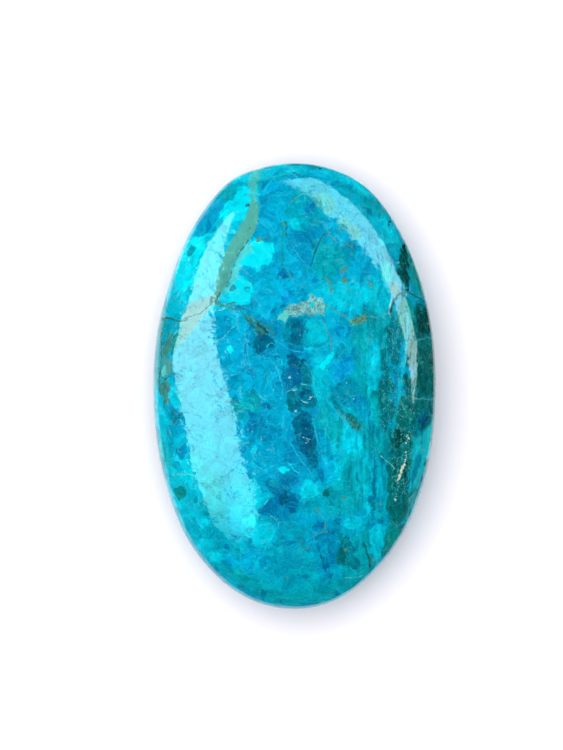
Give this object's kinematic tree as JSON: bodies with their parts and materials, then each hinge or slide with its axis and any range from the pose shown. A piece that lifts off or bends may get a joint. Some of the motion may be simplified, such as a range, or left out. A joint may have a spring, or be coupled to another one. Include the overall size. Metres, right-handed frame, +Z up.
{
  "type": "polished chrysocolla pocket stone",
  "caption": "Smooth pillow-shaped oval pebble of polished blue-green chrysocolla with veined patches, for holding in the hand or keeping in a pocket.",
  "frame": {"origin": "centre of the small flat that the stone rests on, under the middle of its plan", "axes": "+Y along the stone's length, +X across its width, +Z up through the crown"},
  "size_m": [0.0316, 0.05, 0.0143],
  "materials": {
    "polished_chrysocolla": "high polish"
  },
  "bodies": {
    "root": {"pocket_stone": "polished_chrysocolla"}
  },
  "joints": []
}
